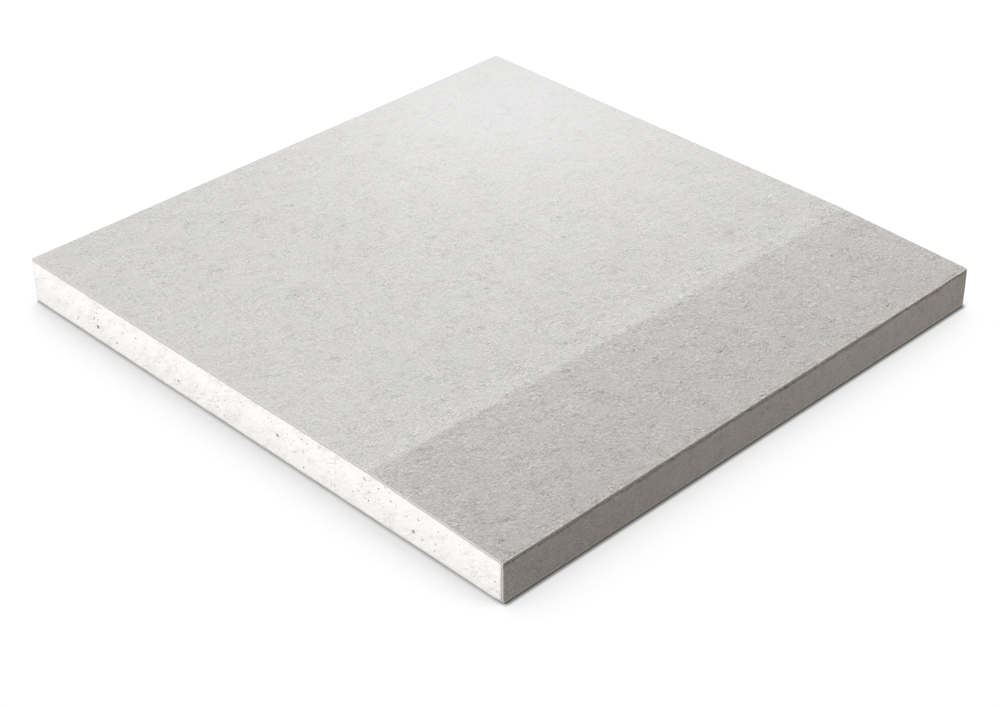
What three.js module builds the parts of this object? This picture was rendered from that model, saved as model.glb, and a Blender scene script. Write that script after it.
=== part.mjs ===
// A cut sample of tapered-edge gypsum plasterboard (drywall), lying face up.
//
// Three bonded layers: a light gypsum core, a face paper that turns over the factory edge and laps
// under the board, and a back paper glued over that lap, which is pressed up into the core there. One edge, at +X, is the factory edge, with
// the shallow taper that leaves room for joint tape and filler. The other three edges are cut, so
// they show the bare core between the two papers.
//
// Millimetres, +Z up. The origin is the middle of the underside, and +X points out of the factory
// edge, which runs along Y.

import * as THREE from "three";

// ---------------------------------------------------------------- driving dimensions

const boardWidth = 168; // X, from the cut edge to the outside of the factory edge
const boardLength = 165; // Y, along the factory edge
const boardThickness = 12.5; // over both papers, away from the taper

const facePaperThickness = 0.6;
const backPaperThickness = 0.5;

const taperWidth = 42; // from the factory edge in to the knee, where the flat face begins
const taperDepth = 1.6; // how far the face has dropped at the factory edge
const kneeRadius = 80; // eases the flat face into the taper

const foldRadius = 0.15; // inside of the face paper, at both folds of the factory edge
const lapWidth = 18; // face paper turned under the board, from the factory edge
const backPaperSetback = 8; // strip of that lap that the back paper leaves bare
const lapRecess = 0.1; // how far that strip lies above the back paper's underside
const lapRampLength = 0.8; // over which the lap rises from there to lie over the back paper

const creaseDepth = 0.22; // the score along which the face paper was folded
const creaseWidth = 0.7;
const creaseBelowFold = 0.1; // from the end of the upper fold to the crease

const foldSteps = 6; // facets round each fold
const kneeSteps = 6; // facets of the knee

// ---------------------------------------------------------------- places that follow from them

const cutEdgeX = -boardWidth / 2;
const factoryEdgeX = boardWidth / 2;
const kneeX = factoryEdgeX - taperWidth;
const lapEndX = factoryEdgeX - lapWidth;
const backPaperEndX = factoryEdgeX - backPaperSetback;
const lapRampEndX = backPaperEndX - lapRampLength;

const factoryEdgeTopZ = boardThickness - taperDepth;

const arrisRadius = foldRadius + facePaperThickness; // outside of the paper at a fold
const creaseTopZ = factoryEdgeTopZ - arrisRadius - creaseBelowFold;

// ---------------------------------------------------------------- section helpers
// A section is drawn in X and Z. Its points are Vector2, whose y holds the board's Z.

function sectionPoint(x, z) {
  return new THREE.Vector2(x, z);
}

/** Unit vector to the right of a direction. The inside of the board is on the right of its path. */
function rightOf(direction) {
  return new THREE.Vector2(direction.y, -direction.x);
}

/** A path corner, moved inset to the right of both legs that meet there, with its fillet. */
function cornerPoints(corner, before, after, inset) {
  const turn = Math.atan2(before.cross(after), before.dot(after));
  const moved = corner.point
    .clone()
    .addScaledVector(rightOf(before), inset)
    .addScaledVector(before, inset * Math.tan(turn / 2));
  if (!corner.radius) return [moved];

  const radius = corner.radius - inset;
  const start = moved.addScaledVector(before, -radius * Math.tan(Math.abs(turn) / 2));
  const centre = start.clone().addScaledVector(rightOf(before), radius);
  return Array.from({ length: corner.steps + 1 }, (_, i) =>
    start.clone().rotateAround(centre, (turn * i) / corner.steps),
  );
}

/** The points of a path of corners, moved inset to its right. Corners with a radius turn right. */
function insetPath(corners, inset) {
  const legs = corners
    .slice(1)
    .map((corner, i) => corner.point.clone().sub(corners[i].point).normalize());
  return corners.flatMap((corner, i) =>
    cornerPoints(corner, legs[i - 1] ?? legs[i], legs[i] ?? legs[i - 1], inset),
  );
}

/** A section, given by its outline's points, extruded over the length of the board. */
function extrudeAlongBoard(outline) {
  const geometry = new THREE.ExtrudeGeometry(new THREE.Shape(outline), {
    depth: boardLength,
    bevelEnabled: false,
  });
  return geometry.rotateX(Math.PI / 2).translate(0, boardLength / 2, 0);
}

// ---------------------------------------------------------------- the face side of the section

/** The score in the face paper, just under the upper fold, as a shallow V. */
const creaseCorners = [
  { point: sectionPoint(factoryEdgeX, creaseTopZ) },
  { point: sectionPoint(factoryEdgeX - creaseDepth, creaseTopZ - creaseWidth / 2) },
  { point: sectionPoint(factoryEdgeX, creaseTopZ - creaseWidth) },
];

/** Where the lap leaves the bare strip and rises over the end of the back paper. */
const lapRamp = [
  { point: sectionPoint(backPaperEndX, lapRecess) },
  { point: sectionPoint(lapRampEndX, backPaperThickness) },
];

/** From the cut edge over the face and the taper, round the factory edge, and in along the lap. */
function faceCorners(edgeDetail = []) {
  const fold = { radius: arrisRadius, steps: foldSteps };
  return [
    { point: sectionPoint(cutEdgeX, boardThickness) },
    { point: sectionPoint(kneeX, boardThickness), radius: kneeRadius, steps: kneeSteps },
    { point: sectionPoint(factoryEdgeX, factoryEdgeTopZ), ...fold },
    ...edgeDetail,
    { point: sectionPoint(factoryEdgeX, lapRecess), ...fold },
    ...lapRamp,
    { point: sectionPoint(lapEndX, backPaperThickness) },
  ];
}

const paperOutside = insetPath(faceCorners(creaseCorners), 0);
const paperInside = insetPath(faceCorners(), facePaperThickness);

// ---------------------------------------------------------------- the three layers

/** An even sheet, folded round the factory edge and lapped under the board. */
function facePaperGeometry() {
  return extrudeAlongBoard([...paperOutside, ...paperInside.toReversed()]);
}

/** Fills the folded face paper, and steps down past the end of its lap to the back paper. */
function gypsumCoreGeometry() {
  return extrudeAlongBoard([
    ...paperInside,
    sectionPoint(lapEndX, backPaperThickness),
    sectionPoint(cutEdgeX, backPaperThickness),
  ]);
}

/** A flat sheet under the core, glued over the inner part of the lap. Its end thins with the ramp. */
function backPaperGeometry() {
  return extrudeAlongBoard([
    sectionPoint(cutEdgeX, 0),
    sectionPoint(backPaperEndX, 0),
    ...lapRamp.map((corner) => corner.point),
    sectionPoint(cutEdgeX, backPaperThickness),
  ]);
}

function layer(name, geometry, color, roughness) {
  const material = new THREE.MeshStandardMaterial({ color, roughness, metalness: 0 });
  const mesh = new THREE.Mesh(geometry, material);
  mesh.name = name;
  return mesh;
}

const plasterboard = new THREE.Group();
plasterboard.add(
  layer("gypsum_core", gypsumCoreGeometry(), "#f7f5f2", 0.95),
  layer("face_paper", facePaperGeometry(), "#d7d5d2", 0.85),
  layer("back_paper", backPaperGeometry(), "#cfc9bf", 0.9),
);

export default plasterboard;
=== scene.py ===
"""A cut sample of tapered-edge plasterboard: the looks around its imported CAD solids.

Each layer gets a detailed mesh that follows its CAD solid: the gypsum core with the air voids that
its cut faces open, the face paper with the creased fold of the factory edge, and the back paper.
Everything is in metres, in the frame of the CAD part, where nothing else is said.
"""

import math
from collections import namedtuple

import bpy
import numpy as np
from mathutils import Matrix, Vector
from mathutils.geometry import delaunay_2d_cdt


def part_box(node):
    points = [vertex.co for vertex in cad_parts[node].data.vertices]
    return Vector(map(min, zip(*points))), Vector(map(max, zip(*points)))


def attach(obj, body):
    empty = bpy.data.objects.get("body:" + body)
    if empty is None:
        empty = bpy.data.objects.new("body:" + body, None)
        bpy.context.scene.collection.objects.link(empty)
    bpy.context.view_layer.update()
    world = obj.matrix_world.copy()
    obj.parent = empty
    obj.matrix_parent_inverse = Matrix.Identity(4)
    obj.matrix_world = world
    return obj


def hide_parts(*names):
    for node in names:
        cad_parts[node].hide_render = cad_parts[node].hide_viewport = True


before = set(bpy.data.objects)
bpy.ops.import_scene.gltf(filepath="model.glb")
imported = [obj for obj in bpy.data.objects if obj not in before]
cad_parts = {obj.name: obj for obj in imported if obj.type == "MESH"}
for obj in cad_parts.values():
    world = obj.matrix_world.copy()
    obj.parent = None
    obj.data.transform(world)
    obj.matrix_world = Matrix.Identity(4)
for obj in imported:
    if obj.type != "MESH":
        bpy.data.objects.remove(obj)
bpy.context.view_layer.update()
scene = bpy.context.scene

MM = 0.001

# ------------ sizes

CORE_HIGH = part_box("gypsum_core")[1]
PAPER_LOW, PAPER_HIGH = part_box("face_paper")
BACK_LOW, BACK_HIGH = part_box("back_paper")

END_Y = PAPER_HIGH.y  # the cut ends are at +-END_Y
CUT_X = PAPER_LOW.x  # the long cut edge, opposite the factory edge
FACTORY_X = PAPER_HIGH.x
FACE_Z = PAPER_HIGH.z
MIDDLE_Z = FACE_Z / 2  # between the face and the back
LAP_TOP_Z = FACE_Z / 4  # between the factory edge and the lap
FACE_PAPER = FACTORY_X - CORE_HIGH.x  # thickness
BACK_PAPER = BACK_HIGH.z - BACK_LOW.z
CLOSE = 0.01 * MM  # features of the solids lie further apart than this

CUT_FACE_SPACING = 0.38 * MM  # between the points of a cut face
VOID_POINT_SPACING = 0.15 * MM  # between the points round a void
PAPER_STEP_Y = 0.38 * MM  # between the columns of the face paper
BACK_STEP = (2.0 * MM, 0.8 * MM)  # between the rows and the columns of the back paper
PLY_ROWS = 3  # rows of faces across the thickness of a paper's cut edge
SHARP_ANGLE = math.radians(40)

# ------------ camera

CAMERA_TARGET = Vector((23.2, -22.9, 6.25)) * MM
CAMERA_AZIMUTH = math.radians(45.06)  # 0 looks along +Y
CAMERA_ELEVATION = math.radians(33.66)
CAMERA_DISTANCE = 516.3 * MM
CAMERA_LENS_MM = 77.34

# ------------ noise for the meshes

NOISE_TABLE = 1024  # cells each way before the noise repeats


def eased(t):
    return t * t * (3 - 2 * t)


def smoothstep(value, start, end):
    return eased(np.clip((value - start) / (end - start), 0, 1))


def bell(offset, width):
    """1 where the offset is 0, and less on both sides."""
    return np.exp(-((offset / width) ** 2))


def lattice_noise(u, v, cell, seed):
    """Smooth noise from -1 to 1 at the points (u, v), with features about one cell across."""
    table = np.random.default_rng(seed).uniform(-1, 1, (NOISE_TABLE, NOISE_TABLE))
    column, row = np.floor(u / cell).astype(int), np.floor(v / cell).astype(int)
    across, along = eased(u / cell - column), eased(v / cell - row)

    def corner(i, j):
        return table[(column + i) % NOISE_TABLE, (row + j) % NOISE_TABLE]

    low = corner(0, 0) * (1 - across) + corner(1, 0) * across
    high = corner(0, 1) * (1 - across) + corner(1, 1) * across
    return low * (1 - along) + high * along


def waves(u, v, height, size_mm, seed):
    """Noise from -height to height."""
    return height * lattice_noise(u, v, size_mm * MM, seed)


def dents(u, v, depth_mm, size_mm, seed):
    """Noise from 0 to twice the depth."""
    return depth_mm * MM * (1 + lattice_noise(u, v, size_mm * MM, seed))


# ------------ sections of the CAD solids

KEY_DIGITS = 4  # decimals of a millimetre that tell corners apart
FOLD_ZONE = 1.2 * MM  # how near the factory edge's plane the arris lies


def end_section(node):
    """Outline of a CAD solid's front end face, as (x, z) rows, clockwise from its top left."""
    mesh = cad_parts[node].data
    corners = np.array([v.co for v in mesh.vertices])
    on_end = corners[:, 1] < corners[:, 1].min() + CLOSE
    keys = [tuple(p) for p in np.round(corners[:, [0, 2]] / MM, KEY_DIGITS)]
    edges = set()
    for face in mesh.polygons:
        if all(on_end[v] for v in face.vertices):
            loop = [keys[v] for v in face.vertices]
            edges.update(zip(loop, loop[1:] + loop[:1]))
    following = {a: b for a, b in edges if (b, a) not in edges}
    start = min(following, key=lambda p: (p[0], -p[1]))
    outline = [start]
    while following[outline[-1]] != start:
        outline.append(following[outline[-1]])
    if outline[1][0] == start[0]:  # the face was wound the other way
        outline = outline[:1] + outline[:0:-1]
    return np.array(outline) * MM


core_outline = end_section("gypsum_core")
paper_outline = end_section("face_paper")
back_outline = end_section("back_paper")

paper_x, paper_z = paper_outline.T
LAP_END_X = paper_x[paper_z < MIDDLE_Z].min()
ARRIS_Z = paper_z[paper_x > FACTORY_X - FOLD_ZONE].max()
FOLD_END_Z = paper_z[np.isclose(paper_x, FACTORY_X)].max()
FOLD_RADIUS = ARRIS_Z - FOLD_END_Z

on_factory_edge = (paper_z > LAP_TOP_Z) & (paper_z < FOLD_END_Z - CLOSE)
crease_points = paper_outline[on_factory_edge & (paper_x > CORE_HIGH.x + CLOSE)]
CREASE_X, CREASE_Z = crease_points[np.argmin(crease_points[:, 0])]
CREASE_DEPTH = FACTORY_X - CREASE_X
CREASE_HALF_WIDTH = np.ptp(crease_points[:, 1]) / 2


def face_inner_path():
    """The core's surface under the face paper, from the cut edge over the top to the lap's end."""
    x, z = core_outline.T
    at_lap_end = np.isclose(x, LAP_END_X) & (z > BACK_PAPER + CLOSE) & (z < MIDDLE_Z)
    return core_outline[: np.flatnonzero(at_lap_end)[0] + 1]


def back_inner_path():
    """The back paper's upper surface, from its end on the lap to the cut edge."""
    upper = back_outline[back_outline[:, 1] > CLOSE]
    return upper[np.argsort(-upper[:, 0])]


def refine(path, step_at):
    """The path with points added about step_at(x, z) apart, and an outward offset at each.

    Adding the offset times a thickness moves both legs of a corner out by that thickness.
    """
    legs = np.diff(path, axis=0)
    lengths = np.linalg.norm(legs, axis=1)
    outward = np.column_stack([-legs[:, 1], legs[:, 0]]) / lengths[:, None]
    points, offsets = [path[0]], [outward[0]]
    for i, leg in enumerate(legs):
        step = step_at(*path[i])
        travelled = step
        while travelled < lengths[i] - step / 2:
            points.append(path[i] + leg * travelled / lengths[i])
            offsets.append(outward[i])
            step = step_at(*points[-1])
            travelled += step
        joined = outward[i] + outward[min(i + 1, len(legs) - 1)]
        points.append(path[i + 1])
        offsets.append(joined * 2 / joined.dot(joined))
    return np.array(points), np.array(offsets)


def rim(grid):
    """The outermost entries of a grid, once round, starting along its first column."""
    return np.concatenate([grid[:, 0], grid[-1, 1:], grid[-2::-1, -1], grid[0, -2:0:-1]])


# ------------ making objects


def add_object(name, data):
    made = bpy.data.objects.new(name, data)
    scene.collection.objects.link(made)
    return made


def mesh_object(name, points, faces, face_materials=(), attributes=None):
    """An object with a smooth-shaded mesh, sharp creases and point attributes."""
    mesh = bpy.data.meshes.new(name)
    mesh.from_pydata([tuple(p) for p in points], [], faces)
    if face_materials:
        mesh.polygons.foreach_set("material_index", face_materials)
    for label, values in (attributes or {}).items():
        layer = mesh.attributes.new(label, "FLOAT", "POINT")
        layer.data.foreach_set("value", np.asarray(values, np.float32))
    mesh.validate()
    mesh.shade_smooth()
    mesh.set_sharp_from_angle(angle=SHARP_ANGLE)
    return add_object(name, mesh)


# ------------ gypsum core

# Voids that stand out on the front cut face: distance from the cut edge, depth below the face and
# radius in mm, and how many times longer than wide.
FRONT_VOIDS = [
    (26.5, 8.4, 0.48, 1.3),
    (95.4, 6.3, 0.43, 1.6),
    (140.5, 8.8, 0.43, 1.5),
    (125.1, 2.8, 0.36, 2.4),
    (34.2, 9.6, 0.31, 1.5),
    (58.5, 9.1, 0.32, 1.3),
    (18.2, 9.4, 0.28, 1.3),
    (42.4, 4.5, 0.27, 1.3),
    (103.9, 3.0, 0.26, 1.5),
    (73.3, 9.2, 0.24, 1.2),
    (26.4, 4.4, 0.24, 1.3),
    (75.6, 10.6, 0.23, 1.2),
    (105.9, 3.2, 0.22, 1.2),
    (124.9, 8.1, 0.22, 1.2),
    (147.4, 8.3, 0.23, 1.1),
    (142.1, 4.7, 0.22, 1.2),
    (165.4, 8.1, 0.22, 1.2),
]
FRONT_VOID_TILT = (-0.8, -0.4)  # radians, their long axes in the cut face
FRONT_VOID_OPENING = 70  # degrees
VOIDS_PER_MM2 = 0.034
VOID_RADII = (0.13, 0.30)  # mm
VOID_RADIUS_POWER = 4.2  # the higher, the more of them are small
VOID_STRETCH = 0.9  # how much longer than wide they are at most
VOID_OPENINGS = (62, 118)  # degrees
VOID_CLEARANCE = 1.8  # clear surface round a scattered void, in radii
RIM_WAVES = ((2, 0.10), (3, 0.08), (5, 0.05))  # number round a rim, and height in radii
RING_SHARES = (0.3, 0.55, 0.78, 0.92, 1.0)  # of the way from a void's middle to its rim
OUTER_RING = 1.22  # a ring just outside the rim, which keeps it crisp
INNER_RING_POINTS, OUTER_RING_POINTS = 6, 8  # at least
RIM_SHADE = 0.12
SHADE_BY_DEPTH = 1.4  # for each radius of depth

GRID_ROWS = 0.87  # distance between rows, in spacings
GRID_JITTER = 0.22  # in spacings
GRID_MARGIN = 0.55  # from the outline, in spacings
GRID_VOID_REACH = 1.35  # from a void's middle, in radii, and a margin on top
GRID_VOID_MARGIN = 0.12 * MM
SAME_POINT_MM = 1e-6
WELD_DISTANCE = 0.001 * MM

# Relief of a cut face: depth and size of its dents, in mm.
CUT_RELIEF = ((0.035, 6.0), (0.016, 1.3), (0.012, 0.6))

FRONT_SEED, REAR_SEED, SIDE_SEED, FRONT_VOIDS_SEED = 1, 2, 3, 11
RELIEF_SEED = 50  # past the seed of the face
LAP_SEAM = 0.3  # how dark the seam is along the lap, where 1 is the rest


Void = namedtuple("Void", "centre radius stretch turn opening waves")


def void(centre, radius, stretch, turn, opening, rng):
    """One air void that a cut has opened. opening is the polar angle of its rim, in degrees."""
    waves = rng.uniform(0, 2 * math.pi, len(RIM_WAVES))
    return Void(np.array(centre), radius, stretch, turn, math.radians(opening), waves)


def void_ring(hole, reach, count):
    """Points round a void, reach radii from its middle, with its stretch and its waves."""
    angle = np.arange(count) * 2 * math.pi / count
    rim_share = np.ones(count)
    for (waves, height), start in zip(RIM_WAVES, hole.waves):
        rim_share += height * np.sin(waves * angle + start)
    out = hole.radius * reach * rim_share
    long, short = hole.stretch ** 0.5, hole.stretch ** -0.5
    ring = np.column_stack([out * np.cos(angle) * long, out * np.sin(angle) * short])
    cosine, sine = math.cos(hole.turn), math.sin(hole.turn)
    return hole.centre + ring @ np.array([[cosine, sine], [-sine, cosine]])


def scatter_voids(inside, low, high, placed, rng):
    """The placed voids, and small ones scattered clear of each other and of the outline."""
    holes = list(placed)
    area = (high[0] - low[0]) * (high[1] - low[1])
    for _ in range(int(VOIDS_PER_MM2 * area / MM**2)):
        share = rng.random() ** VOID_RADIUS_POWER
        radius = (VOID_RADII[0] + (VOID_RADII[1] - VOID_RADII[0]) * share) * MM
        centre = rng.uniform(low, high)
        stretch = 1 + rng.random() ** 2 * VOID_STRETCH
        turn, opening = rng.uniform(0, math.pi), rng.uniform(*VOID_OPENINGS)
        reach = VOID_CLEARANCE * radius
        gaps = [np.linalg.norm(centre - h.centre) - VOID_CLEARANCE * h.radius for h in holes]
        if min(gaps, default=math.inf) > reach and inside(centre, reach):
            holes.append(void(centre, radius, stretch, turn, opening, rng))
    return holes


def ring_count(hole, share, least):
    """How many points go round a void, at a share of its radius."""
    return max(least, round(2 * math.pi * hole.radius * share / VOID_POINT_SPACING))


def bowl_rings(hole):
    """Rings down a void's bowl: where each lies before and after the bowl bulges, depth, shade."""
    ball = hole.radius / math.sin(hole.opening)
    sink = ball * math.cos(hole.opening)
    bottom = hole.centre[None]
    rings = [(bottom, bottom, sink + ball, 1.0)]
    for share in RING_SHARES:
        polar = share * (math.pi - hole.opening)
        count = ring_count(hole, share, INNER_RING_POINTS)
        deep = max(sink + ball * math.cos(polar), 0.0)
        shade = min(1.0, deep / hole.radius * SHADE_BY_DEPTH) if share < 1 else RIM_SHADE
        bulged = void_ring(hole, ball * math.sin(polar) / hole.radius, count)
        rings.append((void_ring(hole, share, count), bulged, deep, shade))
    outside = void_ring(hole, OUTER_RING, ring_count(hole, OUTER_RING, OUTER_RING_POINTS))
    rings.append((outside, outside, 0.0, 0.0))
    return rings


def face_grid(inside, low, high, holes, rng):
    """Scattered points over a cut face, clear of its outline and voids."""
    rows = np.arange(low[1], high[1], CUT_FACE_SPACING * GRID_ROWS)
    columns = np.arange(low[0], high[0], CUT_FACE_SPACING)
    grid_u, grid_v = np.meshgrid(columns, rows)
    grid_u[1::2] += CUT_FACE_SPACING / 2
    grid = np.column_stack([grid_u.ravel(), grid_v.ravel()])
    grid += rng.uniform(-GRID_JITTER, GRID_JITTER, grid.shape) * CUT_FACE_SPACING
    keep = np.array([inside(p, GRID_MARGIN * CUT_FACE_SPACING) for p in grid])
    for hole in holes:
        reach = hole.radius * (hole.stretch ** 0.5 * GRID_VOID_REACH) + GRID_VOID_MARGIN
        keep &= np.linalg.norm(grid - hole.centre, axis=1) > reach
    return grid[keep]


def cut_face(boundary, low, high, inside, placed, seed):
    """A cut face as a flat triangulation: its points, how deep each lies, its shade, and triangles.

    The points come in the order boundary, voids, rest. The shade is 0 outside the voids.
    """
    rng = np.random.default_rng(seed)
    holes = scatter_voids(inside, low, high, placed, rng)
    parts = [(boundary, boundary, 0.0, 0.0)]
    for hole in holes:
        parts += bowl_rings(hole)
    grid = face_grid(inside, low, high, holes, rng)
    parts.append((grid, grid, 0.0, 0.0))

    flat, moved = (np.vstack([part[i] for part in parts]) for i in (0, 1))
    depth, shade = (np.concatenate([np.full(len(part[0]), part[i]) for part in parts]) for i in (2, 3))
    count = len(boundary)
    reliefs = enumerate(CUT_RELIEF, seed + RELIEF_SEED)
    depth[count:] += sum(dents(*flat[count:].T, *relief, number) for number, relief in reliefs)

    edges = [(i, (i + 1) % count) for i in range(count)]
    flat_mm = [Vector(p / MM) for p in flat]
    points, _, faces, sources, _, _ = delaunay_2d_cdt(flat_mm, edges, [], 1, SAME_POINT_MM)
    if len(points) != len(flat):
        raise RuntimeError("a cut face's triangulation added or lost points")
    source = np.array([s[0] for s in sources])
    return moved, depth, shade, source[np.array(faces)]


core_top = core_outline[core_outline[:, 1] > MIDDLE_Z]
core_under = core_outline[core_outline[:, 1] < MIDDLE_Z][::-1]


def inside_section(point, margin):
    """Whether a point of the end section lies inside the core, margin clear of its outline."""
    x, z = point
    about = [x - margin, x, x + margin]
    ceiling = np.interp(about, *core_top.T).min()
    floor = np.interp(about, *core_under.T).max()
    return CUT_X + margin < x < CORE_HIGH.x - margin and floor + margin < z < ceiling - margin


def inside_side(point, margin):
    """The same for the long cut face, whose points are (y, z)."""
    y, z = point
    return abs(y) < END_Y - margin and BACK_PAPER + margin < z < CORE_HIGH.z - margin


def side_boundary(heights):
    """Outline of the long cut face as (y, z) rows, and how many points lie along its length."""
    along = np.linspace(-END_Y, END_Y, math.ceil(2 * END_Y / CUT_FACE_SPACING) + 1)
    return rim(np.stack(np.meshgrid(along, heights, indexing="ij"), axis=-1)), len(along)


def front_voids():
    rng = np.random.default_rng(FRONT_VOIDS_SEED)
    placed = []
    for across, drop, radius, stretch in FRONT_VOIDS:
        centre = (CUT_X + across * MM, FACE_Z - drop * MM)
        turn = rng.uniform(*FRONT_VOID_TILT)
        placed.append(void(centre, radius * MM, stretch, turn, FRONT_VOID_OPENING, rng))
    return placed


def core_cuts(section, side_ring):
    """The core's three cut faces in space, each as points, shades and triangles."""
    section_box = (CUT_X, BACK_PAPER), (CORE_HIGH.x, CORE_HIGH.z)
    side_box = (-END_Y, BACK_PAPER), (END_Y, CORE_HIGH.z)
    placed = front_voids()
    flat, depth, shade, faces = cut_face(section, *section_box, inside_section, placed, FRONT_SEED)
    front = (np.column_stack([flat[:, 0], depth - END_Y, flat[:, 1]]), shade, faces)
    flat, depth, shade, faces = cut_face(section, *section_box, inside_section, [], REAR_SEED)
    rear = (np.column_stack([flat[:, 0], END_Y - depth, flat[:, 1]]), shade, faces[:, ::-1])
    flat, depth, shade, faces = cut_face(side_ring, *side_box, inside_side, [], SIDE_SEED)
    side = (np.column_stack([CUT_X + depth, flat]), shade, faces[:, ::-1])
    return front, rear, side


def covered_faces(section, rear_start, lowest, highest):
    """Long strips under the papers, from the front end face to the rear one.

    lowest and highest number the points along the long cut face's two edges, front to rear.
    """
    on_cut = np.isclose(section[:, 0], CUT_X)
    faces = []
    for k in range(len(section)):
        following = (k + 1) % len(section)
        if on_cut[k] and on_cut[following]:
            continue
        strip = [k, following, rear_start + following, rear_start + k]
        if on_cut[k]:
            strip += list(highest[1:-1][::-1])
        if on_cut[following]:
            strip = strip[:2] + list(lowest[1:-1]) + strip[2:]
        faces.append(strip)
    return faces


def welded(points, faces, candidates):
    """The faces, with each candidate point that repeats an earlier one replaced by it."""
    first_at = {}
    weld = np.arange(len(points))
    for i in candidates:
        key = tuple(np.round(points[i] / WELD_DISTANCE).astype(int))
        weld[i] = first_at.setdefault(key, i)
    return [weld[list(face)] for face in faces]


def seam_shade(points, outlines):
    """Where the gypsum meets a paper it is darker, and least so along the lap."""
    x, _, z = points.T
    on_lap = (z < LAP_TOP_Z) & (x > LAP_END_X - CLOSE)
    seam = np.zeros(len(points))
    seam[outlines] = np.where(on_lap, LAP_SEAM, 1.0)[outlines]
    seam[np.isclose(x, CUT_X) & (z > BACK_PAPER + CLOSE) & (z < CORE_HIGH.z - CLOSE)] = 0.0
    return seam


def core_piece():
    """The gypsum core, with the voids that its three cut faces open."""
    closed = np.vstack([core_outline, core_outline[:1]])
    section = refine(closed, lambda x, z: CUT_FACE_SPACING)[0][:-1]
    side_ring, side_row = side_boundary(np.sort(section[np.isclose(section[:, 0], CUT_X), 1]))
    front, rear, side = core_cuts(section, side_ring)
    rear_start = len(front[0])
    side_start = rear_start + len(rear[0])
    outlines = [*range(len(section)), *range(rear_start, rear_start + len(section))]
    outlines += range(side_start, side_start + len(side_ring))

    lowest = side_start + np.arange(side_row)
    highest = side_start + len(side_ring) // 2 + np.arange(side_row)[::-1]
    faces = [*front[2], *(rear_start + rear[2]), *(side_start + side[2])]
    faces += covered_faces(section, rear_start, lowest, highest)

    points = np.vstack([front[0], rear[0], side[0]])
    shade = np.concatenate([front[1], rear[1], side[1]])
    seam = seam_shade(points, outlines)
    faces = welded(points, faces, outlines)
    used, corners = np.unique(np.concatenate(faces), return_inverse=True)
    ends = np.cumsum([len(face) for face in faces])
    faces = [face.tolist() for face in np.split(corners, ends[:-1])]
    attributes = {"void": shade[used], "seam": seam[used]}
    return mesh_object("gypsum_core_cut", points[used], faces, attributes=attributes)


# ------------ papers

ARRIS_SQUARENESS, LAP_SQUARENESS = 8.0, 9.0  # of the two folds, where 2 would be round

# Distances between the rows of the face paper, the last two within a reach of the arris.
LAP_STEP, FLAT_STEP = 2.5 * MM, 2.4 * MM
TAPER_STEP, TAPER_REACH = 0.45 * MM, 12 * MM
ARRIS_STEP, ARRIS_REACH = 0.16 * MM, 2.6 * MM

# Dents of the face paper: depth and size in mm, and seed.
COCKLE = (0.010, 14, 31)
EDGE_WAVES = (0.03, 5, 37)
CRUMPLE = (0.055, 0.6, 36)  # at the upper fold
KNOCKS = (1.0, 1.9, 38)  # waves that knock the fold in from 0, and fully at KNOCK_FULL
KNOCK_FULL, KNOCK_DEPTH = 0.9, 0.22 * MM
FOLD_REACH = 1.3 * MM  # of the crumple and the knocks, from the arris down
EDGE_SINK = (1.4 * MM, 0.3 * MM)  # in from the factory edge, where its dents start and are full

# The crease. Its waves have a height, a size in mm and a seed.
CREASE_WANDER = ((0.24, 5.0, 32), (0.16, 1.4, 33))
CREASE_RISE_MM = 0.06  # above its place in the section
CREASE_REAR_RISE_MM = 0.26  # more, at the rear
CREASE_REAR = (10 * MM, 70 * MM)  # y, where that starts and is full
CREASE_STRENGTH = 0.60
CREASE_LONG_SWING = (0.40, 4.5, 34)
CREASE_FINE_SWING = (0.35, 0.8, 35)
CREASE_STRENGTHS = (0.15, 1)  # least and most

# Marks on the factory edge, by the distance below the arris.
EDGE_MARK = (0.10 * MM, 0.45 * MM)  # where it starts and is full
FOLD_MARK = (0.60 * MM, 0.50 * MM)  # its middle and its width, for the painted shade right under the arris
FRONT_ARRIS_LIGHT_DROP = 0.25 * MM  # how far down the front of the arris the pale face tone reaches, painted light
FRONT_ARRIS_LIGHT_Y = (30 * MM, -15 * MM)  # where that starts and is full
CREASE_MARK_WIDTH = 0.30 * MM
LAP_MARK = (1.0 * MM, 2.0 * MM)  # in from the factory edge
PAST_FACE = 0.05 * MM  # how far inside the core's edge the marks start

FACE_FRAY = (0.03, 1.1, 40)  # waves of a cut edge: depth and length in mm, and first seed
BACK_FRAY = (0.05, 1.7, 50)


def surface_grid(section, y):
    """Points of a surface that carries a section, as (x, z) rows, along the board at each y."""
    grid = np.empty((len(section), len(y), 3))
    grid[..., 0], grid[..., 1], grid[..., 2] = section[:, :1], y, section[:, 1:]
    return grid


def drawn_in(along, fray, edge):
    """How far a cut edge is drawn in. edge numbers the four edges of a sheet."""
    depth, length, first_seed = fray
    return dents(along, 0 * along, depth, length, first_seed + edge)


def pull_in(grid, travel, fray):
    """Draws the four cut edges of a sheet in, so that they run a little unevenly."""
    y = grid[0, :, 1]
    for edge, end, beside in ((3, 0, 1), (4, -1, -2)):
        leg = grid[beside, 0] - grid[end, 0]
        grid[end] += drawn_in(y, fray, edge)[:, None] * leg / np.linalg.norm(leg)
    grid[:, 0, 1] += drawn_in(travel, fray, 1)
    grid[:, -1, 1] -= drawn_in(travel, fray, 2)


def ply_rings(over, under, numbers):
    """Rings of points down the cut edge of a sheet.

    Gives their numbers, the points of the new ones, and how deep those lie, from 0 to 1.
    """
    depths = np.arange(1, PLY_ROWS + 1) / PLY_ROWS
    added = [rim(over) * (1 - depth) + rim(under) * depth for depth in depths]
    outer = rim(numbers)
    new = numbers.size + np.arange(PLY_ROWS * len(outer)).reshape(PLY_ROWS, -1)
    return [outer, *new], added, depths


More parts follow.
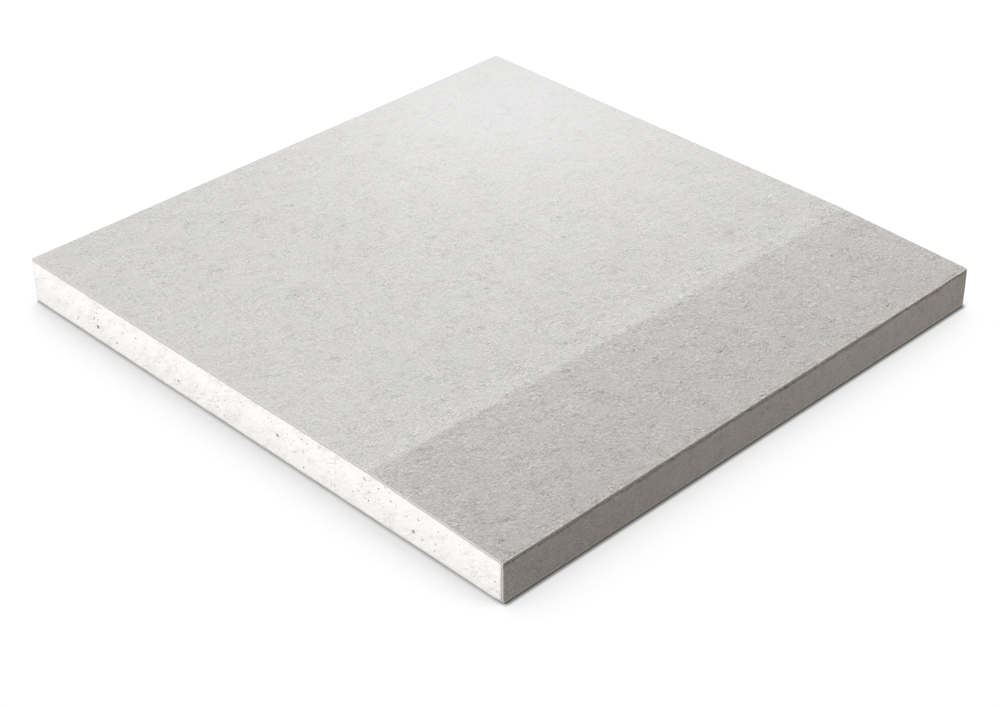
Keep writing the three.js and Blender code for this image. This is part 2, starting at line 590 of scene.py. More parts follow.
def inner_faces(ring, rows, columns):
    """Strips across the inner surface of a sheet, whose rim has the numbers in ring."""
    front, last_edge, rear, first_edge = np.split(ring, np.cumsum([rows, columns - 2, rows]))
    rear = rear[::-1]
    faces = []
    for k in range(rows - 1):
        start = [front[k], *(first_edge[::-1] if k == 0 else []), rear[k]]
        end = [rear[k + 1], *(last_edge[::-1] if k == rows - 2 else []), front[k + 1]]
        faces.append(tuple(int(i) for i in start + end))
    return faces


def paper_piece(name, inner, outer, y_step, fray, sink=None, marks=None):
    """A closed sheet between two sections, given as (x, z) rows, from cut end to cut end.

    sink(x, y, z) is how far it lies inside the outer one, and marks(x, y, z) gives attributes.
    """
    y = np.linspace(-END_Y, END_Y, math.ceil(2 * END_Y / y_step) + 1)
    rows, columns = len(inner), len(y)
    travel = np.concatenate([[0], np.cumsum(np.linalg.norm(np.diff(inner, axis=0), axis=1))])
    under, over = surface_grid(inner, y), surface_grid(outer, y)
    if sink:
        through = (over - under) / np.linalg.norm(over - under, axis=-1, keepdims=True)
        over -= through * sink(over[..., 0], over[..., 1], over[..., 2])[..., None]
    pull_in(under, travel, fray)
    pull_in(over, travel, fray)

    numbers = np.arange(rows * columns).reshape(rows, columns)
    rings, added, depths = ply_rings(over, under, numbers)
    points = np.vstack([over.reshape(-1, 3), *added])
    ply = np.concatenate([np.ones(numbers.size), np.repeat(1 - depths, len(rings[0]))])

    a, b, c, d = numbers[:-1, :-1], numbers[1:, :-1], numbers[1:, 1:], numbers[:-1, 1:]
    faces = np.stack([a, b, c, d], axis=-1).reshape(-1, 4).tolist()
    materials = [0] * len(faces)
    for near, far in zip(rings, rings[1:]):
        faces += np.stack([near, far, np.roll(far, -1), np.roll(near, -1)], axis=-1).tolist()
    faces += inner_faces(rings[-1], rows, columns)
    materials += [1] * (len(faces) - len(materials))
    attributes = {"ply": ply, **(marks(*points.T) if marks else {})}
    return mesh_object(name, points, faces, materials, attributes)


def fold_fullness(inner, offsets):
    """How far the paper stands outside a round fold, which is squarer than a circle."""
    squareness = np.where(inner[:, 1] > MIDDLE_Z, ARRIS_SQUARENESS, LAP_SQUARENESS)
    outward = offsets / np.linalg.norm(offsets, axis=1, keepdims=True)
    fullness = (np.abs(outward) ** squareness[:, None]).sum(axis=1) ** (-1 / squareness) - 1
    at_fold = inner[:, 0] > FACTORY_X - FOLD_RADIUS - CLOSE
    return np.where(at_fold, FOLD_RADIUS * fullness, 0.0)


def face_step(x, z):
    """Rows of the face paper close up towards the arris of the factory edge."""
    if z < LAP_TOP_Z:
        return LAP_STEP
    reach = math.hypot(FACTORY_X - x, ARRIS_Z - z)
    if reach > TAPER_REACH:
        return FLAT_STEP
    return ARRIS_STEP if reach < ARRIS_REACH else TAPER_STEP


def above_crease(y, z):
    """Height above the crease, which wanders and runs higher at the rear."""
    wander = sum(waves(y, 0 * y, *wave) for wave in CREASE_WANDER)
    rise = CREASE_RISE_MM - wander + CREASE_REAR_RISE_MM * smoothstep(y, *CREASE_REAR)
    return z - CREASE_Z - rise * MM


def face_sink(x, y, z):
    """Dents of the face paper: a slight cockle, the worn fold and the crease below it."""
    cockle = dents(x, y, *COCKLE) * (z > MIDDLE_Z)
    on_edge = smoothstep(x, *(FACTORY_X - reach for reach in EDGE_SINK)) * (z > LAP_TOP_Z)
    strength = CREASE_STRENGTH + waves(y, 0 * y, *CREASE_LONG_SWING) + waves(y, z, *CREASE_FINE_SWING)
    groove = bell(above_crease(y, z), CREASE_HALF_WIDTH) * np.clip(strength, *CREASE_STRENGTHS)
    near_fold = bell(ARRIS_Z - z, FOLD_REACH)
    knocks = KNOCK_DEPTH * smoothstep(waves(y, 0 * y, *KNOCKS), 0, KNOCK_FULL)
    worn = (dents(y, z, *CRUMPLE) + knocks) * near_fold
    return cockle + on_edge * (groove * CREASE_DEPTH + worn + dents(y, z, *EDGE_WAVES))


def face_marks(x, y, z):
    """Masks for the finish of the face paper, from 0 to 1.

    edge is the factory edge with the lap, and fold the line right under the arris, where shade is
    painted.
    """
    past_face = (x > CORE_HIGH.x - PAST_FACE) | (z < LAP_TOP_Z)
    # at the front the edge tone starts lower: painted light on the arris
    below = ARRIS_Z - FRONT_ARRIS_LIGHT_DROP * smoothstep(y, *FRONT_ARRIS_LIGHT_Y) - z
    edge = smoothstep(below, *EDGE_MARK) * past_face
    crease = bell(above_crease(y, z), CREASE_MARK_WIDTH) * edge
    fold = bell(below - FOLD_MARK[0], FOLD_MARK[1]) * edge
    lap = (z < LAP_TOP_Z) * smoothstep(FACTORY_X - x, *LAP_MARK)
    return {"edge": edge, "crease": crease, "fold": fold, "lap": lap}


def face_piece():
    inner, offsets = refine(face_inner_path(), face_step)
    outer = inner + offsets * (FACE_PAPER + fold_fullness(inner, offsets))[:, None]
    outer = np.minimum(outer, (FACTORY_X, FACE_Z))
    return paper_piece("face_paper_sheet", inner, outer, PAPER_STEP_Y, FACE_FRAY, face_sink, face_marks)


def back_piece():
    inner, _ = refine(back_inner_path(), lambda x, z: BACK_STEP[0])
    outer = np.column_stack([inner[:, 0], np.zeros(len(inner))])
    return paper_piece("back_paper_sheet", inner, outer, BACK_STEP[1], BACK_FRAY)


# ------------ materials

# The finishes work in millimetres.
CUT_MM, FACTORY_MM, END_MM, CORE_MM = CUT_X / MM, FACTORY_X / MM, END_Y / MM, CORE_HIGH.x / MM

FIBRE_TURN = math.radians(13)  # from the factory edge's direction
FIBRE_STRETCH = (1.28, 0.58, 1.0)  # how densely they lie across and along it
RELIEF_STEP = (-0.69, 0.16, 0.0)  # from a fibre to its shadow, in their coordinates

# Noise in the felt: size, detail, roughness, shift of its pattern, and swing of the tone.
BROAD_CLOUD, BROAD_SWING = (12.0, 2.0, 0.5), 0.040
CLOUDS = [
    (4.2, 2.0, 0.55, (31, 7, 3), 0.040),
    (1.7, 2.0, 0.6, (3, 27, 13), 0.058),
    (0.75, 2.0, 0.6, (5, 17, 9), 0.178),
]
SPECKS, SPECK_SWING, SPECK_SHADOW = (0.36, 1.0, 0.5, (11, 3, 21)), 0.41, -0.07

# Strokes of fibre: size, width, shift, the noise at which their gaps start and end, and tone.
RAISED_FIBRE, RAISED_TONE, RAISED_SHADOW = (1.5, 0.030, (2, 8, 5), 0.40, 0.58), 0.20, -0.12
DARK_FIBRES = [
    (1.2, 0.030, (19, 4, 1), 0.42, 0.62, -0.26),
    (0.8, 0.045, (6, 14, 7), 0.45, 0.60, -0.16),
    (2.4, 0.018, (21, 4, 17), 0.56, 0.62, -0.36),
]
SCRATCHES = (1.2, 0.035, (3, 6, 9), 0.46, 0.60)
STROKE_WARP = 1.6
STROKE_GAPS = 1.9  # size of the gaps for each unit of size

# Spots: spacing, radius, share of places that have one, and shift.
CLUMPS, CLUMP_TONE = (0.9, 0.25, 0.20, (7, 1, 3)), -0.26
FLECKS, FLECK_FACTOR, FLECK_STRETCH = (7.0, 0.34, 0.30, (3, 9, 27)), 0.62, (1, 1.5, 1)
SCUFFS, SCUFF_FACTOR = (1.0, 0.30, 0.45, (8, 1, 5)), 1.35
PORES = (1.1, 0.30, 0.22, (6, 2, 14))
PRICKS = (2.4, 0.36, 0.30, (16, 4, 9))
SPOT_CORE = 0.5  # of the radius, within which a spot is full

# Further noise: size, detail, roughness and shift, and then the ramp that it goes through (start,
# end and the values there) or how much it swings the tone.
CRISPNESS = (5.0, 2.0, 0.5, (44, 12, 8)), (0.35, 0.65, 0.62, 1.18)
EDGE_TINT = (6.0, 3.0, 0.7, (41, 3, 15)), (0.38, 0.62)
SOIL_AND_SHADE_BLOTCHES = (2.0, 4.0, 0.85, (9, 41, 2)), (0.35, 0.60)
FOLD_SHADE_BREAKS = (0.8, 3.0, 0.8, (5, 2, 33)), (0.47, 0.59)
GYPSUM_CLOUD = (6.0, 3.0, 0.6), (0.35, 0.7)
PATCHES, PATCH_RAMP = (5.0, 3.0, 0.6, (77, 13, 5)), (0.46, 0.74, -0.5, 0.5)
SPECK_SHARE = 0.20  # of the specks in the border of a patch
STREAKS, STREAK_SWING, STREAK_STRETCH = (1.3, 2.0, 0.6, (5, 23, 12)), 0.18, (1, 1, 0.3)
FUZZ, FUZZ_SWING = (0.5, 3.0, 0.7, (2, 8, 4)), 0.16
SMEAR, SMEAR_SWING = (1.0, 3.0, 0.6), 0.07
SMEAR_TURN, SMEAR_STRETCH = (0.6, 0.6, 0), (0.35, 0.35, 1.0)
GRAIN, GRAIN_SWING = (0.5, 3.0, 0.7, (4, 19, 8)), 0.14

# Ramps over the face paper, in the same form, with the axis they run along.
LIT = (10.0, 110.0, 0.36, 1.0)  # from the far left corner, where light washes the felt out
COARSE, COARSE_GAIN = ("X", 16.0, 38.0), 0.24  # and how much more the felt shows past it
COARSE_FRONT, COARSE_FRONT_GAIN = ("Y", 0.0, -60.0), 0.04
TAPER_START = (43.1, 45.2)  # x where the tone steps down, past the knee
TAPER_START_SLOPE = 0.017  # how much further in that lies for each unit towards the front
TAPER_VARIETY = 0.5  # how much of the variety of tone is left there
# Painted shade darker towards the knee, and painted light at the knee against the shade of its bend.
BEFORE_KNEE_SHADE = ("X", 10.0, TAPER_START[0], 1.0, 0.953)
AT_KNEE_LIGHT = (33.0, TAPER_START[0], 1.0, 1.045)
# Painted shade down the taper, and a painted highlight along the arris.
DOWN_TAPER_SHADE = ("X", TAPER_START[1], FACTORY_MM, 1.0, 0.905)
ARRIS_HIGHLIGHT = ("X", 82.0, 83.2, 1.0, 1.06)
NEAR_ARRIS = ("X", 72.5, 78.0)
# Painted shade on the taper towards the front, and painted light towards the rear.
TAPER_LIGHT_AND_SHADE_BY_Y = ("Y", -END_MM, END_MM, 0.955, 1.02)
# Painted light on the factory edge, lighter towards the rear.
EDGE_LIGHT_BY_Y = ("Y", -0.5 * END_MM, 0.6 * END_MM, 1.0, 1.135)
# Soil and painted shade along the crease, stronger towards the rear.
SOIL_AND_SHADE_BY_Y = ("Y", -40.0, 30.0, 0.75, 1.0)
# Painted shade right under the arris, stronger towards the rear.
FOLD_SHADE_BY_Y = ("Y", -50.0, 20.0, 0.75, 1.0)
# Painted light on the lowest part of the factory edge, full towards the floor.
LOW_EDGE_LIGHT = ("Z", 0.75, 0.25)
SCUFFED = ("Y", 18.0 - END_MM, 6.0 - END_MM)
SOIL_AND_SHADE_TONE = (0.0, 0.8, 1.0, 0.52)
# How dark the fold's painted shade gets, how bright the painted light low on the edge, and how much
# felt shows there.
FOLD_SHADE_FACTOR, LOW_EDGE_LIGHT_FACTOR, EDGE_FELT_FACTOR = 0.52, 1.60, 0.62

# Ramps over the gypsum.
# Painted shade in the voids, by the void attribute.
VOID_SHADE_TONE = (0.05, 0.9, 1.0, 0.72)
FOLD_TONE = ("X", CORE_MM - 0.95, CORE_MM, 1.0, 0.66)  # darker inside the fold
# Painted shade: the gypsum darker towards the bottom.
LOW_PAINTED_SHADE = ("Z", 1.5, 8.0, 0.90, 1.0)
# Painted light: the gypsum lighter towards the factory edge.
RIGHT_PAINTED_LIGHT = ("X", -10.0, 80.0, 1.0, 1.018)
SEAM_FACTOR = 0.74
# Painted shade in the pores, and darker scratches.
PORE_SHADE_TONE, SCRATCH_TONE = -0.36, -0.10
PORE_HEIGHT, SCRATCH_HEIGHT, SMEAR_HEIGHT = -1.5, -0.8, 2.0

# Surfaces: depth of the relief in mm, roughness, and specular level.
FACE_SURFACE = (0.050, 0.85, 0.25)
BACK_SURFACE = (0.060, 0.9, 0.2)
PLY_SURFACE = (0.05, 0.9, 0.2)
GYPSUM_SURFACE = (0.072, 0.95, 0.15)

FACE_TONES = (0.661, 0.6325, 0.624), (0.640, 0.642, 0.624)
TAPER_SHADE_TINTS = (0.884, 0.878, 0.878), (0.881, 0.878, 0.857)  # on the taper and near the arris: painted shade of the taper's slope, and partly the paper's own darker tone
EDGE_TONES = (0.564, 0.493, 0.458), (0.537, 0.505, 0.446)
BACK_TONES = (0.54, 0.50, 0.45), (0.51, 0.485, 0.43)
GYPSUM_TONES = (0.952, 0.937, 0.922), (0.926, 0.911, 0.897)
SMEARED_PLIES = (0.80, 0.785, 0.77)

# Plies in a liner's cut edge: outer, inner, outer on the factory edge, and the share of the depth
# from which the outer ply shows.
FACE_PLIES = (0.70, 0.685, 0.665), (0.44, 0.425, 0.41), (0.40, 0.387, 0.37), 0.12
# The back paper's dark outer ply along the floor is partly its own colour and partly painted shade of
# the contact.
BACK_PLIES = (0.42, 0.41, 0.395), (0.74, 0.725, 0.705), (0.42, 0.41, 0.395), 0.45
PLY_BLEND = 0.33  # depth over which a ply passes into the next
PLY_RAGGED = 0.5  # how far the fuzz shifts the plies
BROWNED = (0.35, 0.60)  # depths between which the factory edge's tone sets in


class Tree:
    """The nodes of a material or a world, with short calls for those used here."""

    def __init__(self, owner, output="OutputMaterial"):
        owner.use_nodes = True
        self.owner = owner
        self.tree = owner.node_tree
        self.tree.nodes.clear()
        self.output = self.node(output)

    def node(self, kind, inputs=None, **settings):
        """A new node with its settings made, and its inputs linked or set."""
        made = self.tree.nodes.new("ShaderNode" + kind)
        for name, value in settings.items():
            setattr(made, name, value)
        for key, value in (inputs or {}).items():
            if isinstance(value, bpy.types.NodeSocket):
                self.tree.links.new(value, made.inputs[key])
            else:
                made.inputs[key].default_value = value
        return made

    def finish(self, surface):
        self.tree.links.new(surface, self.output.inputs["Surface"])
        return self.owner

    def mapped(self, vector, scale=(1, 1, 1), turn=(0, 0, 0), shift=(0, 0, 0)):
        inputs = {"Vector": vector, "Scale": scale, "Rotation": turn, "Location": shift}
        return self.node("Mapping", inputs).outputs["Vector"]

    def noise(self, size, detail, roughness, shift=(0, 0, 0), place=None, distortion=0.0):
        """Noise about 0.5, with features about size millimetres across."""
        inputs = {"Vector": self.mapped(place or self.place, shift=shift), "Scale": 1 / size}
        inputs |= {"Detail": detail, "Roughness": roughness, "Distortion": distortion}
        return self.node("TexNoise", inputs).outputs["Fac"]

    def ramped_noise(self, noise, ramp):
        return self.spread(self.noise(*noise), *ramp)

    def math(self, operation, a, b):
        return self.node("Math", {0: a, 1: b}, operation=operation).outputs["Value"]

    def minus(self, a, b):
        return self.math("SUBTRACT", a, b)

    def times(self, product, *factors):
        for factor in factors:
            product = self.math("MULTIPLY", product, factor)
        return product

    def spread(self, value, low, high, to_low=0.0, to_high=1.0):
        """value mapped from low..high to to_low..to_high, and held there past the ends."""
        ends = {"From Min": low, "From Max": high, "To Min": to_low, "To Max": to_high}
        return self.node("MapRange", {"Value": value, **ends}, clamp=True).outputs["Result"]

    def over(self, axis, *ramp):
        """A ramp along one axis of the board, in millimetres."""
        return self.spread(self.axes[axis], *ramp)

    def fade(self, mask, factor):
        """1 where the mask is 0, and the factor where it is 1."""
        return self.spread(mask, 0.0, 1.0, 1.0, factor)

    def total(self, start, terms):
        """start plus each value times its amount."""
        for value, amount in terms:
            start = self.math("ADD", self.times(value, amount), start)
        return start

    def swings(self, terms):
        """1 plus each noise, taken about 0.5, times twice its amount."""
        return self.total(1.0 - sum(amount for _, amount in terms), [(v, 2 * a) for v, a in terms])

    def mix(self, factor, a, b):
        """Two colours mixed, each a socket or red, green and blue."""
        a, b = ((*colour, 1) if isinstance(colour, tuple) else colour for colour in (a, b))
        return self.node("Mix", {0: factor, 6: a, 7: b}, data_type="RGBA").outputs[2]

    def tinted(self, colour, factor):
        """colour times a grey factor."""
        inputs = {0: colour, "Scale": factor}
        return self.node("VectorMath", inputs, operation="SCALE").outputs["Vector"]

    def vector(self, operation, a, b=(0, 0, 0)):
        return self.node("VectorMath", {0: a, 1: b}, operation=operation).outputs["Vector"]

    def attribute(self, name):
        return self.node("Attribute", attribute_name=name).outputs["Fac"]

    def surface(self, colour, height, depth_mm, roughness, specular):
        """The finished material. height is its relief from 0 to 1, which stands for depth_mm."""
        bump = self.node("Bump", {"Distance": depth_mm * MM, "Height": height})
        inputs = {"Base Color": colour, "Normal": bump.outputs["Normal"]}
        inputs |= {"Roughness": roughness, "Specular IOR Level": specular}
        return self.finish(self.node("BsdfPrincipled", inputs).outputs["BSDF"])


def material_tree(name):
    """The nodes of a new material, with the place on the board in millimetres."""
    tree = Tree(bpy.data.materials.new(name))
    tree.place = tree.mapped(tree.node("TexCoord").outputs["Object"], [1 / MM] * 3)
    tree.axes = tree.node("SeparateXYZ", {"Vector": tree.place}).outputs
    return tree


def strokes(tree, place, size, width, shift, low, high):
    """Curly strokes of matted fibre, 0 to 1: where a warped noise passes through its middle."""
    warped = tree.noise(size, 1.0, 0.5, shift, place, distortion=STROKE_WARP)
    off_middle = tree.math("ABSOLUTE", tree.minus(warped, 0.5), 0.0)
    line = tree.spread(off_middle, width, 0.0)
    gaps = tree.noise(STROKE_GAPS * size, 1.0, 0.5, (shift[1], shift[2], shift[0]), place)
    return tree.times(line, tree.spread(gaps, low, high))


def spots(tree, place, spacing, radius, share, shift):
    """Scattered round spots, 0 to 1, on a share of points about spacing millimetres apart."""
    cells = tree.node("TexVoronoi", {"Vector": tree.mapped(place, shift=shift), "Scale": 1 / spacing})
    chance = tree.node("SeparateColor", {"Color": cells.outputs["Color"]}).outputs["Red"]
    spot = tree.spread(cells.outputs["Distance"], radius / spacing, SPOT_CORE * radius / spacing)
    return tree.times(spot, tree.spread(chance, 1 - share, 1.0))


def felt(tree):
    """Matted recycled fibre as a grey factor about 1, and its specks."""
    along_machine = tree.mapped(tree.mapped(tree.place, turn=(0, 0, FIBRE_TURN)), FIBRE_STRETCH)
    shadow = tree.mapped(along_machine, shift=RELIEF_STEP)
    speck = tree.noise(*SPECKS, along_machine)
    clouds = [(tree.noise(*BROAD_CLOUD), BROAD_SWING)]
    clouds += [(tree.noise(*cloud, along_machine), swing) for *cloud, swing in CLOUDS]
    clouds += [(speck, SPECK_SWING), (tree.noise(*SPECKS, shadow), SPECK_SHADOW)]
    fibres = [(strokes(tree, along_machine, *RAISED_FIBRE), RAISED_TONE)]
    fibres.append((strokes(tree, shadow, *RAISED_FIBRE), RAISED_SHADOW))
    fibres += [(strokes(tree, along_machine, *fibre), tone) for *fibre, tone in DARK_FIBRES]
    fibres.append((spots(tree, along_machine, *CLUMPS), CLUMP_TONE))
    crisp = tree.ramped_noise(*CRISPNESS)
    relief = tree.minus(tree.total(tree.swings(clouds), fibres), 1.0)
    return tree.total(1.0, [(relief, crisp)]), speck


def liner_colour(tree, speck, tones, variety=1.0):
    """Two tones of fibre in patches of a few millimetres, mingled at their borders."""
    patch = tree.total(tree.noise(*PATCHES), [(speck, SPECK_SHARE)])
    share = tree.spread(patch, *PATCH_RAMP)
    return tree.mix(tree.total(0.5, [(share, variety)]), *tones)


def felt_contrast(tree, lit, edge):
    """How strongly the felt shows: more near the taper, less on the factory edge."""
    coarse = tree.over(*COARSE)
    coarse_front = tree.times(coarse, tree.over(*COARSE_FRONT))
    gain = tree.total(1.0, [(coarse, COARSE_GAIN), (coarse_front, COARSE_FRONT_GAIN)])
    return tree.times(gain, lit, tree.fade(edge, EDGE_FELT_FACTOR))


def face_colour(tree, speck, lit):
    """The face paper's colour on the flat and on the taper, darker there partly as painted shade."""
    start = tree.total(tree.axes["X"], [(tree.axes["Y"], -TAPER_START_SLOPE)])
    tapered = tree.spread(start, *TAPER_START)
    colour = liner_colour(tree, speck, FACE_TONES, tree.times(lit, tree.fade(tapered, TAPER_VARIETY)))
    # the taper's tint: painted shade of its slope, and partly the paper's own darker tone
    taper_shade = tree.mix(tree.over(*NEAR_ARRIS), *TAPER_SHADE_TINTS)
    # painted light and shade across the face paper
    painted_light_and_shade = tree.times(
        tree.over(*BEFORE_KNEE_SHADE),
        tree.spread(start, *AT_KNEE_LIGHT),
        tree.over(*DOWN_TAPER_SHADE),
        tree.over(*ARRIS_HIGHLIGHT),
    )
    # the taper's painted shade at the front and painted light at the rear
    level = tree.minus(tree.over(*TAPER_LIGHT_AND_SHADE_BY_Y), 1.0)
    colour = tree.vector("MULTIPLY", colour, tree.mix(tapered, (1, 1, 1), taper_shade))
    return tree.tinted(colour, tree.times(painted_light_and_shade, tree.total(1.0, [(level, tapered)])))


def factory_edge_colour(tree):
    colour = tree.mix(tree.ramped_noise(*EDGE_TINT), *EDGE_TONES)
    # painted light, lighter towards the rear
    return tree.tinted(colour, tree.over(*EDGE_LIGHT_BY_Y))


def factory_edge_wear_and_shading(tree, tone, edge):
    """The tone with soil and painted shade under the arris, painted light low down, and scuffed places.
    """
    blotch = tree.ramped_noise(*SOIL_AND_SHADE_BLOTCHES)
    # soil and painted shade along the crease
    soil_and_shade = tree.times(tree.attribute("crease"), blotch, tree.over(*SOIL_AND_SHADE_BY_Y))
    # painted shade in a broken line right under the arris
    broken_fold_shade = tree.times(tree.ramped_noise(*FOLD_SHADE_BREAKS), tree.over(*FOLD_SHADE_BY_Y))
    ragged_fold_shade = tree.times(tree.attribute("fold"), broken_fold_shade)
    # painted light low on the factory edge, against its shade by the floor
    low_edge_light = tree.times(edge, tree.over(*LOW_EDGE_LIGHT))
    scuffed = tree.times(edge, tree.over(*SCUFFED))
    scuffs = tree.times(spots(tree, tree.place, *SCUFFS), scuffed)
    streaks = tree.noise(*STREAKS, tree.mapped(tree.place, STREAK_STRETCH))
    tone = tree.times(
        tone,
        tree.spread(soil_and_shade, *SOIL_AND_SHADE_TONE),
        tree.fade(ragged_fold_shade, FOLD_SHADE_FACTOR),
        tree.fade(low_edge_light, LOW_EDGE_LIGHT_FACTOR),
        tree.fade(scuffs, SCUFF_FACTOR),
    )
    return tree.total(tone, [(tree.times(edge, tree.minus(streaks, 0.5)), STREAK_SWING)])


def face_paper_finish():
    """The grey-white liner, darker on the taper, browner on the factory edge, with soil and painted
    light and shade.
    """
    tree = material_tree("face_paper_felt")
    relief, speck = felt(tree)
    edge = tree.attribute("edge")
    to_far_corner = {0: tree.place, 1: (CUT_MM, END_MM, FACE_Z / MM)}
    distance = tree.node("VectorMath", to_far_corner, operation="DISTANCE").outputs["Value"]
    lit = tree.spread(distance, *LIT)
    tone = tree.total(1.0, [(tree.minus(relief, 1.0), felt_contrast(tree, lit, edge))])
    flecks = spots(tree, tree.mapped(tree.place, FLECK_STRETCH), *FLECKS)
    tone = factory_edge_wear_and_shading(tree, tree.times(tone, tree.fade(flecks, FLECK_FACTOR)), edge)
    colour = tree.mix(edge, face_colour(tree, speck, lit), factory_edge_colour(tree))
    return tree.surface(tree.tinted(colour, tone), relief, *FACE_SURFACE)


def back_paper_finish():
    """The browner, coarser liner of the back."""
    tree = material_tree("back_paper_felt")
    relief, speck = felt(tree)
    colour = liner_colour(tree, speck, BACK_TONES)
    return tree.surface(tree.tinted(colour, relief), relief, *BACK_SURFACE)


def section_finish(name, outer_ply, inner_ply, edge_ply, outer_from):
    """The cut edge of a liner: its plies and torn fibres, smeared with gypsum along the lap."""
    tree = material_tree(name)
    fuzz = tree.noise(*FUZZ)
    depth = tree.total(tree.attribute("ply"), [(tree.minus(fuzz, 0.5), PLY_RAGGED)])
    browned = tree.times(tree.attribute("edge"), tree.spread(depth, *BROWNED))
    outer = tree.mix(browned, outer_ply, edge_ply)
    colour = tree.mix(tree.spread(depth, outer_from, outer_from + PLY_BLEND), inner_ply, outer)
    colour = tree.mix(tree.attribute("lap"), colour, SMEARED_PLIES)
    return tree.surface(tree.tinted(colour, tree.swings([(fuzz, FUZZ_SWING)])), fuzz, *PLY_SURFACE)


def gypsum_finish():
    """Cast gypsum on a cut: chalky white, faintly clouded, darker at the papers, with painted light and
    shade.
    """
    tree = material_tree("gypsum_cut")
    smear_place = tree.mapped(tree.mapped(tree.place, turn=SMEAR_TURN), SMEAR_STRETCH)
    cloud = tree.ramped_noise(*GYPSUM_CLOUD)
    smear = tree.noise(*SMEAR, place=smear_place)
    grain = tree.noise(*GRAIN)
    pores, pricks = spots(tree, tree.place, *PORES), spots(tree, tree.place, *PRICKS)
    scratches = strokes(tree, smear_place, *SCRATCHES)
    # painted shade in the pores
    marks = [(pores, PORE_SHADE_TONE), (pricks, PORE_SHADE_TONE), (scratches, SCRATCH_TONE)]
    tone = tree.times(
        tree.total(tree.swings([(smear, SMEAR_SWING), (grain, GRAIN_SWING)]), marks),
        # painted shade in the voids
        tree.spread(tree.attribute("void"), *VOID_SHADE_TONE),
        tree.over(*FOLD_TONE),
        tree.fade(tree.attribute("seam"), SEAM_FACTOR),
        # painted shade towards the bottom
        tree.over(*LOW_PAINTED_SHADE),
        # painted light towards the factory edge
        tree.over(*RIGHT_PAINTED_LIGHT),
    )
    height = [(smear, SMEAR_HEIGHT), (pores, PORE_HEIGHT), (pricks, PORE_HEIGHT)]
    height = tree.total(grain, [*height, (scratches, SCRATCH_HEIGHT)])
    return tree.surface(tree.tinted(tree.mix(cloud, *GYPSUM_TONES), tone), height, *GYPSUM_SURFACE)


# ------------ the pieces

core = core_piece()
core.data.materials.append(gypsum_finish())
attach(core, "root")
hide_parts("gypsum_core")

face = face_piece()
face.data.materials.append(face_paper_finish())
face.data.materials.append(section_finish("face_paper_plies", *FACE_PLIES))
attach(face, "root")
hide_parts("face_paper")

back = back_piece()
back.data.materials.append(back_paper_finish())
back.data.materials.append(section_finish("back_paper_plies", *BACK_PLIES))
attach(back, "root")
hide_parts("back_paper")


# ------------ floor, world and lights

FLOOR_HALF = 3.0
FLOOR_DROP = 0.02 * MM
FLOOR_BOUNCE = (0.45, 0.45, 0.45, 1)  # to all but the camera and reflections
FLOOR_DIFFUSE, FLOOR_GLOW = 0.60, 0.55  # to the camera: what shadows darken, and the rest

# Shade on the floor beside the board: its reach, its lean towards X and Y in degrees, its strength.
WIDE_SHADE = (50 * MM, (0, 15), 1.05)
CONTACT_SHADE = (1.3 * MM, (-55, -29.5), 1.48)
DARKEST_SHADE = 0.11

WORLD_LEVEL = 0.40
OVERHEAD_LEVEL = 0.40
OVERHEAD_ANGLE = math.radians(11)  # width of the light, which softens its shadows
OVERHEAD_LEAN = math.radians(3.6)  # of the shadows, towards the factory edge
KEY_PLACE, KEY_SIZE, KEY_LEVEL = Vector((-3.0, -5.0, 1.45)), 4.0, 1.0
GLOW_SPOT = Vector((-62 * MM, 63 * MM, FACE_Z))  # near the far corner
GLOW_HEIGHT, GLOW_SIZE, GLOW_LEVEL = Vector((0, 0, 80 * MM)), 60 * MM, 0.32
GLOW_COLOUR = (0.93, 1.0, 1.07)


def aim(thing, place, target):
    thing.location = place
    thing.rotation_euler = (target - place).to_track_quat("-Z", "Y").to_euler()


def closed_share(tree, distance, lean_degrees):
    """How much of a leaning half space over the floor is closed within a distance, 0 to 1."""
    up = tree.node("NewGeometry").outputs["Normal"]
    lean = [math.tan(math.radians(angle)) for angle in lean_degrees]
    unit = tree.vector("NORMALIZE", tree.vector("ADD", up, (*lean, 0)))
    occlusion = tree.node("AmbientOcclusion", {"Distance": distance, "Normal": unit})
    return tree.minus(1.0, occlusion.outputs["AO"])


def floor_shade(tree):
    """1 on the open floor, and darker towards the board, most of all right beside it."""
    *reach, strength = WIDE_SHADE
    near_board = closed_share(tree, *reach)
    wide = tree.minus(1.0, tree.times(near_board, near_board, strength))
    *reach, strength = CONTACT_SHADE
    contact = tree.minus(1.0, tree.times(closed_share(tree, *reach), strength))
    return tree.math("MAXIMUM", tree.times(wide, contact), DARKEST_SHADE)


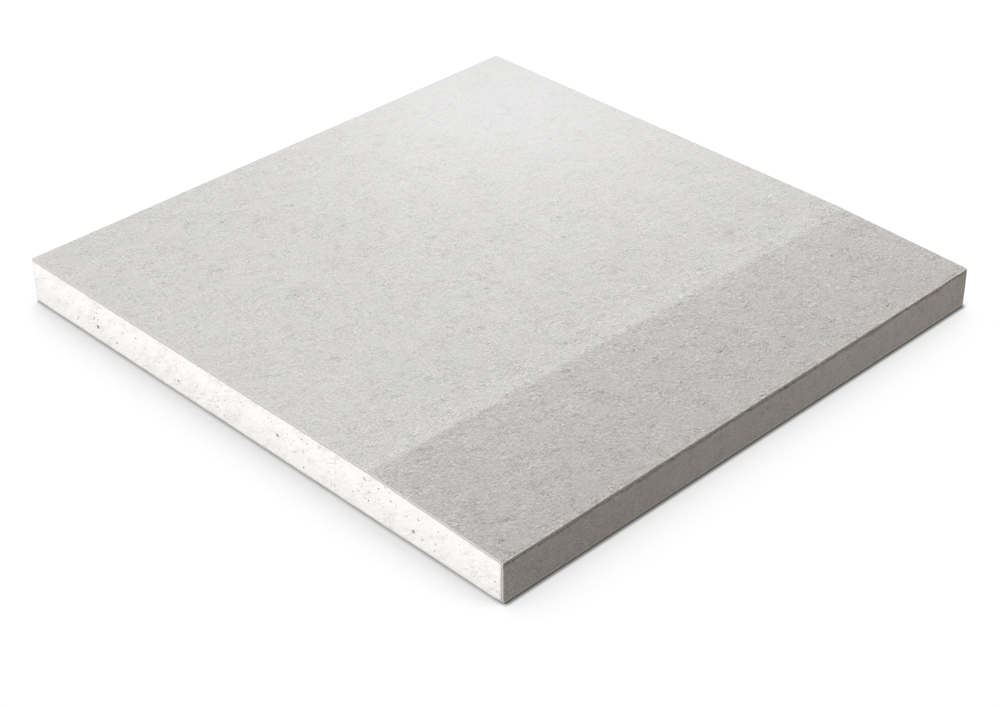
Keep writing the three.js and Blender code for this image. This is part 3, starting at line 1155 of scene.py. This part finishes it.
def white_floor():
    """A pale floor that the camera sees white where nothing shades it."""
    signs = (-1, -1), (1, -1), (1, 1), (-1, 1)
    corners = [(x * FLOOR_HALF, y * FLOOR_HALF, -FLOOR_DROP) for x, y in signs]
    floor = mesh_object("floor", corners, [(0, 1, 2, 3)])
    tree = material_tree("white_floor")
    shade = floor_shade(tree)
    bounce = tree.node("BsdfDiffuse", {"Color": FLOOR_BOUNCE}).outputs["BSDF"]
    white = tree.node("BsdfDiffuse", {"Color": tree.times(shade, FLOOR_DIFFUSE)}).outputs["BSDF"]
    glow = tree.node("Emission", {"Strength": tree.times(shade, FLOOR_GLOW)}).outputs["Emission"]
    bright = tree.node("AddShader", {0: white, 1: glow}).outputs["Shader"]
    path = tree.node("LightPath").outputs
    seen = tree.math("MAXIMUM", path["Is Camera Ray"], path["Is Glossy Ray"])
    choice = tree.node("MixShader", {0: seen, 1: bounce, 2: bright})
    floor.data.materials.append(tree.finish(choice.outputs["Shader"]))


def soft_world():
    """An even dome of light, seen as white."""
    world = bpy.data.worlds.new("studio")
    scene.world = world
    tree = Tree(world, "OutputWorld")
    seen = tree.node("LightPath").outputs["Is Camera Ray"]
    level = tree.spread(seen, 0.0, 1.0, WORLD_LEVEL, 1.0)
    background = tree.node("Background", {"Color": (1, 1, 1, 1), "Strength": level})
    tree.finish(background.outputs["Background"])


def add_lamp(name, kind, place, target, **settings):
    lamp = add_object(name, bpy.data.lights.new(name, kind))
    lamp.visible_camera = False
    aim(lamp, place, target)
    for setting, value in settings.items():
        setattr(lamp.data, setting, value)
    return lamp


def softbox(name, place, target, size, level, lit, colour=(1, 1, 1)):
    """A square area light on one collection. level is the brightness it gives a white card."""
    energy = level * (math.pi * (place - target).length) ** 2
    lamp = add_lamp(name, "AREA", place, target, size=size, color=colour, energy=energy)
    lamp.light_linking.receiver_collection = lit


def overhead():
    """Light from above, whose shadows are soft and lean towards the factory edge."""
    place = Vector((-math.tan(OVERHEAD_LEAN), 0, 1))
    energy = OVERHEAD_LEVEL * math.pi
    add_lamp("overhead", "SUN", place, Vector(), energy=energy, angle=OVERHEAD_ANGLE)


board = bpy.data.collections.new("board")
for piece in (core, face, back):
    board.objects.link(piece)

white_floor()
soft_world()
overhead()
softbox("key", KEY_PLACE, Vector(), KEY_SIZE, KEY_LEVEL, board)
softbox("glow", GLOW_SPOT + GLOW_HEIGHT, GLOW_SPOT, GLOW_SIZE, GLOW_LEVEL, board, GLOW_COLOUR)

camera = add_object("camera", bpy.data.cameras.new("camera"))
camera.data.lens = CAMERA_LENS_MM
level = math.cos(CAMERA_ELEVATION)
back_off = Vector((math.sin(CAMERA_AZIMUTH) * level, -math.cos(CAMERA_AZIMUTH) * level, 0))
back_off.z = math.sin(CAMERA_ELEVATION)
aim(camera, CAMERA_TARGET + back_off * CAMERA_DISTANCE, CAMERA_TARGET)
scene.camera = camera
scene.view_settings.view_transform = "Standard"
